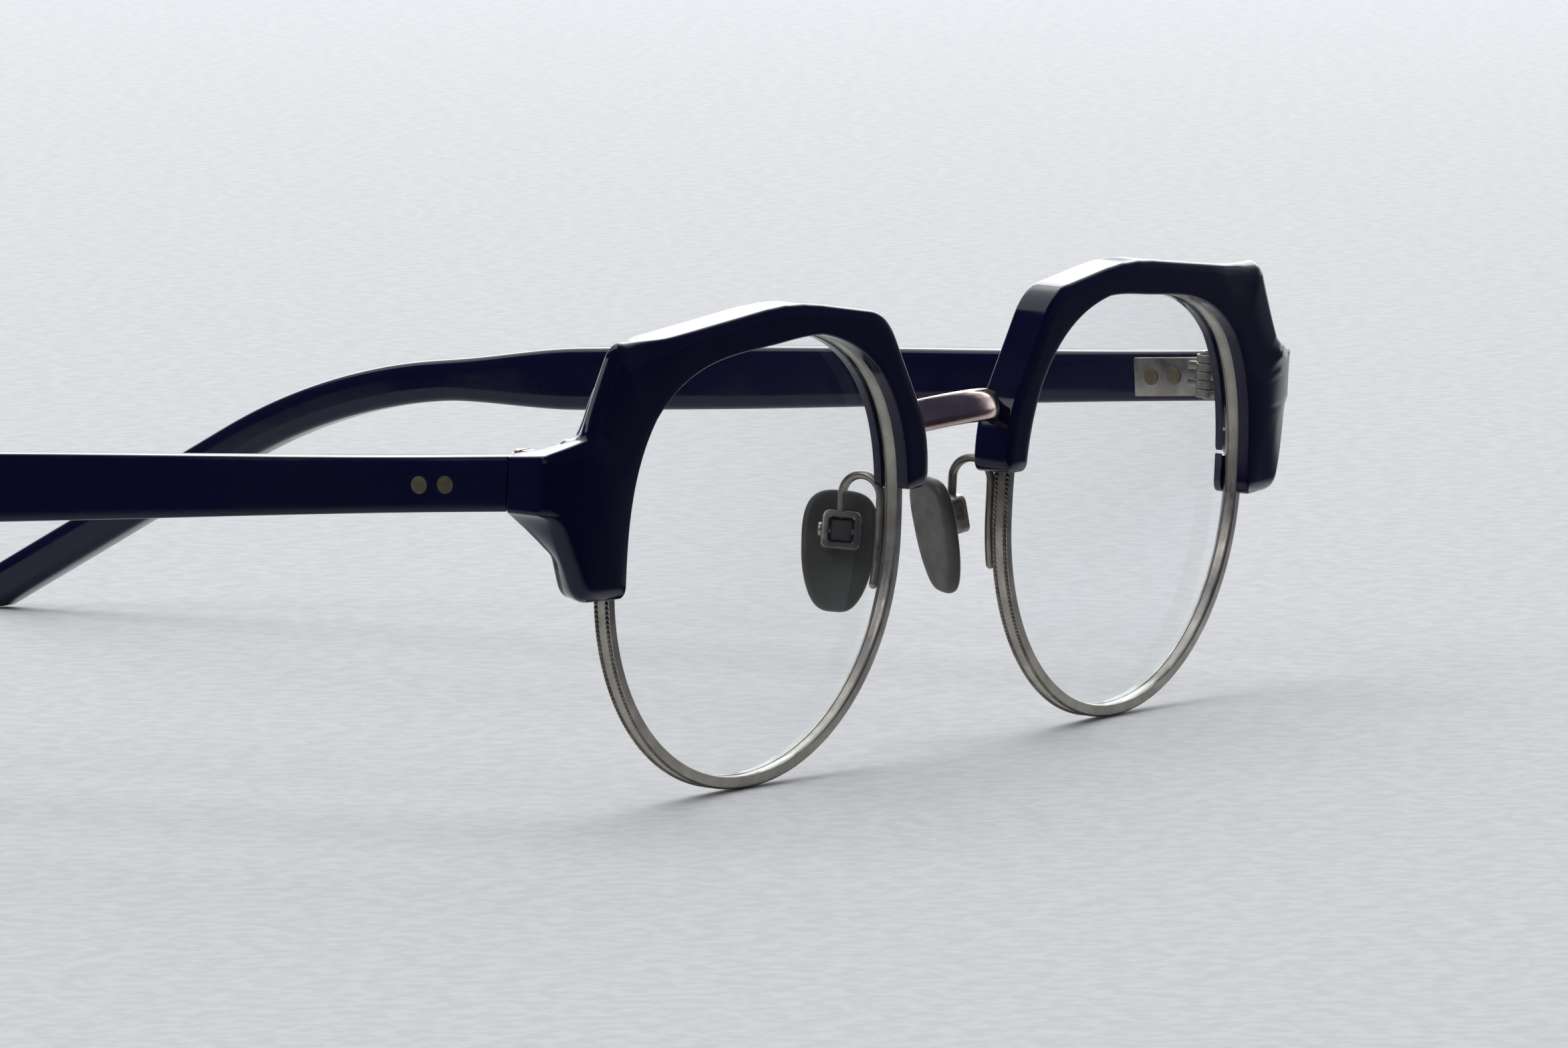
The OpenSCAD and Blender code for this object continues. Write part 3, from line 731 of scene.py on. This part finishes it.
# ---------------------------------------------------------------- temple
def temple_length():
    stand_z = OFFSET[2]
    seam_z = stand_z + END_Z * math.cos(LEAN) + SEAM_Y * math.sin(LEAN)
    fall = seam_z - T_TIP / 2 - STRAIGHT * math.sin(DROP) - BEND_R * (math.cos(DROP) - math.cos(DROP + BEND))
    return fall / math.sin(DROP + BEND)


def centre_line(s):
    """Point (y, z) and direction angle of the temple's centre line at arc length s."""
    arc = BEND_R * BEND
    if s <= STRAIGHT:
        return np.array([s, 0.0]), 0.0
    if s <= STRAIGHT + arc:
        t = (s - STRAIGHT) / BEND_R
        return np.array([STRAIGHT + BEND_R * math.sin(t), -BEND_R + BEND_R * math.cos(t)]), t
    end = np.array([STRAIGHT + BEND_R * math.sin(BEND), -BEND_R + BEND_R * math.cos(BEND)])
    return end + (s - STRAIGHT - arc) * np.array([math.cos(BEND), -math.sin(BEND)]), BEND


def temple_shape():
    """A swept bar: crowned outer face with an eased upper edge, rounder inner edges, round tip."""
    end = STRAIGHT + BEND_R * BEND + temple_length()
    tip = T_TIP / 2
    stations = np.concatenate([
        [0.0, 0.12, 0.3, 0.8, 1.6], np.arange(2.6, end - 0.2, 1.25), [end],
        end + tip * np.sin(np.radians([10, 20, 30, 40, 50, 58, 66, 73, 79, 84, 88])),
    ])
    normal = (rot_z(-SPREAD - WRAP) @ rot_x(-DROP - LEAN)).T @ np.array([math.sin(MITRE), math.cos(MITRE), 0])
    gap = SEAM_GAP * math.cos(MITRE) / normal[1]
    rings = []
    for s in stations:
        p, turn = centre_line(min(s, end + tip))
        widen = smooth((s - 4) / 60) * (T_WIDE - T_H) / 2 + T_H / 2
        half = widen + (tip - widen) * smooth((s - 76) / 17)
        beyond = max(0.0, s - end)
        if beyond > 0:
            half = math.sqrt(max(tip * tip - beyond * beyond, 1e-6))
        thick = T_THICK + (T_THIN - T_THICK) * smooth((s - 5) / 42)
        ring = []
        for side in (1, -1):
            steps = [0, 0.03, 0.1, 0.22, 0.4, 0.65, 1.0, 1.5, 2.0, 99]
            if side == -1:
                steps = steps[::-1]
            for d in steps:
                ring.append((min(d, half), side))
        outer_side = []
        for d, side in ring:
            v = side * (half - d)
            gone = d if beyond == 0 else tip - math.hypot(v, beyond)
            r_out = 0.3
            near = min(max(r_out - gone, 0), r_out)
            drop = r_out - math.sqrt(r_out ** 2 - near ** 2)
            crown = 0.16 * max(0.0, 1 - gone / 1.6) ** 1.8
            outer_side.append((-drop - crown, v))
        inner_side = []
        for d, side in ring:
            v = side * (half - d)
            gone = d if beyond == 0 else tip - math.hypot(v, beyond)
            r_in = min(0.75 + 0.35 * smooth((s - 8) / 20), thick / 2 - 0.3)
            near = min(max(r_in - gone, 0), r_in)
            inner_side.append((-thick + r_in - math.sqrt(r_in ** 2 - near ** 2), v))
        section = outer_side + inner_side[::-1]
        pts = []
        for x, v in section:
            y, z = p[0] + v * math.sin(turn), p[1] + v * math.cos(turn)
            if s < 8:
                y += (gap + (-x * normal[0] - v * normal[2]) / normal[1]) * (1 - s / 8)
            pts.append((x, y, z))
        rings.append(pts)
    rings = np.array(rings)
    # The seam edge is broken by a hair
    centre = rings[0].mean(axis=0)
    rings[0] = rings[0] + (centre - rings[0]) * 0.03
    shape = Shape().skin(rings, caps=True)
    shape.points = list(along_temple(np.array(shape.points)))
    return shape


def rivet_shape():
    shape = Shape()
    length = T_THICK + 0.45
    profile = [
        (0.02, -length), (RIVET_R - 0.1, -length), (RIVET_R, -length + 0.12), (RIVET_R, -0.05),
        (RIVET_R - 0.03, 0.005), (RIVET_R * 0.6, 0.028), (0.02, 0.035),
    ]
    for y in RIVETS:
        shape.turned(profile, lambda p, y=y: along_temple(np.stack([p[:, 2], p[:, 0] + y, p[:, 1]], -1)), 48)
    return shape


def core_shape():
    path = [centre_line(s)[0] for s in np.arange(12, STRAIGHT + BEND_R * BEND + temple_length() - 4, 2.0)]
    return Shape().wire(along_temple(np.array([(-T_THIN / 2, y, z) for y, z in path])), 0.6, 12)


# ---------------------------------------------------------------- materials
class Nodes:
    def __init__(self, name):
        self.mat = bpy.data.materials.new(name)
        self.mat.use_nodes = True
        self.tree = self.mat.node_tree
        self.tree.nodes.clear()
        self.out = self.new("ShaderNodeOutputMaterial")
        self.coords = self.new("ShaderNodeTexCoord").outputs["Object"]

    def new(self, kind, **values):
        n = self.tree.nodes.new(kind)
        for k, v in values.items():
            setattr(n, k, v)
        return n

    def link(self, a, b):
        self.tree.links.new(a, b)

    def noise(self, scale, detail=3.0, rough=0.5, stretch=None, distortion=0.0):
        n = self.new("ShaderNodeTexNoise")
        n.inputs["Scale"].default_value = scale
        n.inputs["Detail"].default_value = detail
        n.inputs["Roughness"].default_value = rough
        n.inputs["Distortion"].default_value = distortion
        if stretch:
            m = self.new("ShaderNodeMapping")
            m.inputs["Scale"].default_value = stretch
            self.link(self.coords, m.inputs["Vector"])
            self.link(m.outputs["Vector"], n.inputs["Vector"])
        else:
            self.link(self.coords, n.inputs["Vector"])
        return n.outputs["Fac"]

    def ramp(self, value, low, high, a, b):
        """a below low, b above high, blended between."""
        r = self.new("ShaderNodeMapRange")
        r.interpolation_type = "SMOOTHSTEP"
        for key, v in (("From Min", low), ("From Max", high), ("To Min", a), ("To Max", b)):
            r.inputs[key].default_value = v
        self.link(value, r.inputs["Value"])
        return r.outputs["Result"]

    def mix(self, fac, a, b):
        m = self.new("ShaderNodeMix", data_type="RGBA")
        self.link(fac, m.inputs["Factor"])
        for socket, v in ((m.inputs["A"], a), (m.inputs["B"], b)):
            if isinstance(v, tuple):
                socket.default_value = (*v, 1)
            else:
                self.link(v, socket)
        return m.outputs["Result"]

    def add(self, a, b, weight=1.0):
        m = self.new("ShaderNodeMath", operation="MULTIPLY_ADD")
        self.link(b, m.inputs[0])
        m.inputs[1].default_value = weight
        self.link(a, m.inputs[2])
        return m.outputs[0]

    def bump(self, height, distance_m, strength=1.0):
        b = self.new("ShaderNodeBump")
        b.inputs["Distance"].default_value = distance_m
        b.inputs["Strength"].default_value = strength
        self.link(height, b.inputs["Height"])
        return b.outputs["Normal"]

    def principled(self, color=None, rough=None, normal=None, **values):
        p = self.new("ShaderNodeBsdfPrincipled")
        for key, v in values.items():
            p.inputs[key.replace("_", " ")].default_value = v
        for socket, v in (("Base Color", color), ("Roughness", rough), ("Normal", normal)):
            if v is None:
                continue
            if isinstance(v, (tuple, float)):
                p.inputs[socket].default_value = (*v, 1) if isinstance(v, tuple) else v
            else:
                self.link(v, p.inputs[socket])
        self.link(p.outputs["BSDF"], self.out.inputs["Surface"])
        return p


def acetate():
    m = Nodes("black_acetate")
    mottle = m.ramp(m.noise(55, 4, 0.55, distortion=0.6), 0.5, 0.72, 0.0, 1.0)
    color = m.mix(mottle, (0.0030, 0.0030, 0.024), (0.0055, 0.0048, 0.022))
    # Fine handling scratches, one family along the frame and one across it, over a slow change of polish
    scratch = m.ramp(m.noise(2600, 2, 0.6, (0.12, 1, 1)), 0.62, 0.78, 0.0, 1.0)
    cross = m.ramp(m.noise(2100, 2, 0.6, (1, 0.1, 1)), 0.64, 0.8, 0.0, 1.0)
    polish = m.ramp(m.noise(130, 3), 0.35, 0.7, 0.07, 0.16)
    rough = m.add(m.add(polish, scratch, 0.09), cross, 0.07)
    height = m.add(m.noise(140, 2), m.noise(900, 3), 0.10)
    normal = m.bump(height, 0.00006, 0.55)
    m.principled(color, rough, normal, IOR=1.42)
    return m.mat


def metal(name, dark, light, rough_low, rough_high, grain, depth, stretch=None):
    m = Nodes(name)
    patina = m.ramp(m.noise(grain * 0.16, 4, 0.6), 0.38, 0.68, 0.0, 1.0)
    fine = m.noise(grain, 4, 0.6, stretch)
    color = m.mix(patina, dark, light)
    satin = m.ramp(m.noise(grain * 0.4, 3), 0.3, 0.7, rough_low, rough_high)
    rough = m.add(satin, m.ramp(fine, 0.4, 0.7, 0.0, 1.0), 0.07)
    normal = m.bump(fine, depth, 0.6)
    m.principled(color, rough, normal, Metallic=1.0)
    return m.mat


def pad_material():
    m = Nodes("pad_grey")
    cloud = m.ramp(m.noise(260, 3), 0.35, 0.7, 0.0, 1.0)
    color = m.mix(cloud, (0.050, 0.049, 0.042), (0.066, 0.064, 0.055))
    rough = m.ramp(m.noise(900, 3), 0.3, 0.7, 0.36, 0.52)
    m.principled(color, rough, m.bump(m.noise(900, 2), 0.000012, 0.4), IOR=1.45)
    return m.mat


def lens_material():
    m = Nodes("clear_lens")
    # A weak coloured bloom of the coating, in the mirror share only
    glossy = m.new("ShaderNodeBsdfGlossy")
    tint = m.mix(m.ramp(m.noise(24, 2), 0.35, 0.65, 0.0, 1.0), (0.78, 0.86, 0.84), (0.80, 0.84, 0.95))
    m.link(tint, glossy.inputs["Color"])
    rough = m.ramp(m.noise(1500, 3), 0.55, 0.75, 0.02, 0.09)
    m.link(rough, glossy.inputs["Roughness"])
    clear = m.new("ShaderNodeBsdfTransparent")
    clear.inputs["Color"].default_value = (0.993, 0.996, 0.996, 1)
    facing = m.new("ShaderNodeLayerWeight")
    facing.inputs["Blend"].default_value = 0.5
    mixer = m.new("ShaderNodeMixShader")
    m.link(m.ramp(facing.outputs["Facing"], 0.3, 1.0, 0.006, 0.14), mixer.inputs["Fac"])
    m.link(clear.outputs["BSDF"], mixer.inputs[1])
    m.link(glossy.outputs["BSDF"], mixer.inputs[2])
    m.link(mixer.outputs["Shader"], m.out.inputs["Surface"])
    return m.mat


ACETATE = acetate()
PEWTER = metal("antique_silver", (0.36, 0.335, 0.29), (0.46, 0.435, 0.385), 0.28, 0.40, 1900, 0.00002)
BEADS = metal("antique_silver_beads", (0.16, 0.145, 0.12), (0.30, 0.275, 0.235), 0.34, 0.46, 2400, 0.00003)
STEEL = metal("satin_steel", (0.30, 0.275, 0.235), (0.42, 0.39, 0.34), 0.26, 0.38, 2200, 0.00002, (1, 1, 0.2))
BRIGHT = metal("polished_warm_metal", (0.58, 0.43, 0.37), (0.74, 0.60, 0.53), 0.10, 0.17, 1500, 0.000012)
RIVET = metal("brass_rivet", (0.20, 0.165, 0.10), (0.30, 0.26, 0.17), 0.42, 0.56, 2600, 0.00005, (1, 0.25, 1))
PAD = pad_material()
LENS = lens_material()


# ---------------------------------------------------------------- pieces
build("bridge_bar", bridge_shape(), standing, 1, "front", BRIGHT, ["bridge"])
PIECES = (
    ("lens", lens_shape, "front", "lens", LENS, ["lens"], 60),
    ("eyewire", eyewire_shape, "front", "pewter", PEWTER, ["eyewire"], 40),
    ("milgrain", milgrain, "front", "pewter", BEADS, [], 50),
    ("closing_block", closing_blocks, "front", "pewter", PEWTER, ["closing_block"], 35),
    ("rim_screw", rim_screw, "front", "steel", STEEL, ["rim_screw"], 35),
    ("brow", brow_shape, "front", "acetate", ACETATE, ["brow"], 34),
    ("brow_screws", brow_screws, "front", "steel", STEEL, ["brow_screws"], 35),
    ("pad_arm", pad_arm_shape, "front", "pewter", STEEL, ["pad_arm"], 40),
    ("nose_pad", nose_pad_shape, "pad_{}", "pad", PAD, ["nose_pad"], 40),
    ("pad_screw", pad_screw_shape, "front", "steel", STEEL, ["pad_screw"], 35),
    ("front_hinge", front_hinge_shape, "front", "steel", STEEL, ["front_hinge"], 35),
    ("hinge_screw", hinge_screw_shape, "front", "steel", STEEL, ["hinge_screw"], 35),
    ("temple_hinge", temple_hinge_shape, "temple_{}", "steel", STEEL, ["temple_hinge"], 35),
    ("temple", temple_shape, "temple_{}", "acetate", ACETATE, ["temple"], 34),
    ("temple_core", core_shape, "temple_{}", "steel", STEEL, ["temple_core"], 40),
    ("rivets", rivet_shape, "temple_{}", "steel", RIVET, ["rivet_pins"], 35),
)
for side, hand in ((1, "left"), (-1, "right")):
    for name, shape, body, slot, material, nodes, sharp in PIECES:
        build(
            f"{name}_{hand}_look", shape(), left, side, body.format(hand), material,
            [f"{node}_{hand}" for node in nodes], sharp, brow_cutters() if name == "brow" else (),
        )

# ---------------------------------------------------------------- camera, floor and light
# The camera: 61 degrees round from the front towards the wearer's right, 5 degrees up
camera = bpy.data.cameras.new("camera")
camera.sensor_width = 36
camera.lens = 287.678
camera.clip_start, camera.clip_end = 0.1, 20
eye = Vector(np.array([-1018.08, -547.10, 103.29]) * MM) + Vector((0, OFFSET[1] * MM, OFFSET[2] * MM))
look = bpy.data.objects.new("camera", camera)
look.location = eye
look.rotation_euler = Vector((0.87112, 0.48293, -0.08901)).to_track_quat("-Z", "Y").to_euler()
bpy.context.scene.collection.objects.link(look)
bpy.context.scene.camera = look


def stage_plane(name, corners, material):
    mesh = bpy.data.meshes.new(name)
    mesh.from_pydata(corners, [], [(0, 1, 2, 3)])
    mesh.materials.append(material)
    obj = bpy.data.objects.new(name, mesh)
    bpy.context.scene.collection.objects.link(obj)
    return obj


def floor_material():
    """A pale woven floor. Mirrored in polished parts, it is painted dim in front and to the right: a painted
    dark reflection.
    """
    m = Nodes("pale_floor")
    weave = m.noise(420, 3, 0.6)
    color = m.mix(m.ramp(weave, 0.35, 0.65, 0.0, 1.0), (0.62, 0.63, 0.64), (0.70, 0.71, 0.72))
    # Painted dark reflection: for glossy rays only, the floor in front of the frame and to its right is
    # painted near-black
    apart = m.new("ShaderNodeSeparateXYZ")
    m.link(m.coords, apart.inputs[0])
    dim = m.new("ShaderNodeMath", operation="MAXIMUM")
    m.link(m.ramp(apart.outputs["Y"], -0.14, -0.09, 1.0, 0.0), dim.inputs[0])
    m.link(m.ramp(apart.outputs["X"], -0.17, -0.11, 1.0, 0.0), dim.inputs[1])
    mirrored = m.new("ShaderNodeMath", operation="MULTIPLY")
    m.link(dim.outputs[0], mirrored.inputs[0])
    m.link(m.new("ShaderNodeLightPath").outputs["Is Glossy Ray"], mirrored.inputs[1])
    color = m.mix(mirrored.outputs[0], color, (0.012, 0.012, 0.035))
    m.principled(color, 0.8, m.bump(weave, 0.0002, 0.25))
    return m.mat


FLOOR_CORNERS = [(x * 6, y * 6, -0.0001) for x, y in ((-1, -1), (1, -1), (1, 1), (-1, 1))]
stage_plane("floor", FLOOR_CORNERS, floor_material())


def area(name, at, target, size, power, color=(1, 1, 1)):
    lamp = bpy.data.lights.new(name, "AREA")
    lamp.shape, lamp.size, lamp.size_y = "RECTANGLE", size[0], size[1]
    lamp.energy, lamp.color = power, color
    obj = bpy.data.objects.new(name, lamp)
    obj.location = at
    obj.rotation_euler = (Vector(target) - Vector(at)).to_track_quat("-Z", "Y").to_euler()
    bpy.context.scene.collection.objects.link(obj)


area("overhead", (0.35, 0.55, 1.5), (0, 0, 0), (1.5, 1.5), 9)
area("fill", (-1.5, 0.35, 1.3), (0, 0, 0.02), (1.0, 1.0), 7, (1.0, 0.985, 0.96))
area("window", (1.9, 0.75, 0.85), (0, 0, 0.05), (2.2, 0.9), 15, (0.97, 0.98, 1.0))

# The world is a pale studio to the eye. As light it is bright behind the object and dim before it
world = bpy.data.worlds.new("soft")
world.use_nodes = True
bpy.context.scene.world = world
tree = world.node_tree
direction = tree.nodes.new("ShaderNodeTexCoord").outputs["Generated"]


def spread(value, low, high, kind="LINEAR"):
    """0 below low, 1 above high."""
    node = tree.nodes.new("ShaderNodeMapRange")
    node.interpolation_type = kind
    for key, v in (("From Min", low), ("From Max", high), ("To Min", 0.0), ("To Max", 1.0)):
        node.inputs[key].default_value = v
    tree.links.new(value, node.inputs["Value"])
    return node.outputs["Result"]


def toward(axis, low, high):
    """Rises over the sky's directions towards one of them."""
    node = tree.nodes.new("ShaderNodeVectorMath")
    node.operation = "DOT_PRODUCT"
    node.inputs[1].default_value = axis
    tree.links.new(direction, node.inputs[0])
    return spread(node.outputs["Value"], low, high, "SMOOTHSTEP")


def blend(factor, a, b):
    node = tree.nodes.new("ShaderNodeMix")
    node.data_type = "RGBA"
    tree.links.new(factor, node.inputs["Factor"])
    for key, v in (("A", a), ("B", b)):
        if isinstance(v, tuple):
            node.inputs[key].default_value = (*v, 1)
        else:
            tree.links.new(v, node.inputs[key])
    return node.outputs["Result"]


light = blend(toward((0.42, 0.75, 0.50), -0.05, 0.70), (0.055, 0.060, 0.095), (0.80, 0.81, 0.82))
# Mirrored, only the side behind the frame and to its left is bright, with streaks like a window's
streak = tree.nodes.new("ShaderNodeTexNoise")
streak.inputs["Scale"].default_value = 9.0
streak.inputs["Detail"].default_value = 1.0
tree.links.new(direction, streak.inputs["Vector"])
panes = blend(spread(streak.outputs["Fac"], 0.42, 0.56), (0.75, 0.80, 0.88), (1.7, 1.7, 1.7))
mirrored = blend(toward((0.865, 0.454, 0.216), 0.62, 0.93), (0.05, 0.055, 0.10), panes)
ray = tree.nodes.new("ShaderNodeLightPath")
room = blend(ray.outputs["Is Glossy Ray"], light, mirrored)
seen = blend(ray.outputs["Is Camera Ray"], room, (0.66, 0.67, 0.67))
background = tree.nodes["Background"]
background.inputs["Strength"].default_value = 1.0
tree.links.new(seen, background.inputs["Color"])

bpy.context.scene.view_settings.view_transform = "Standard"
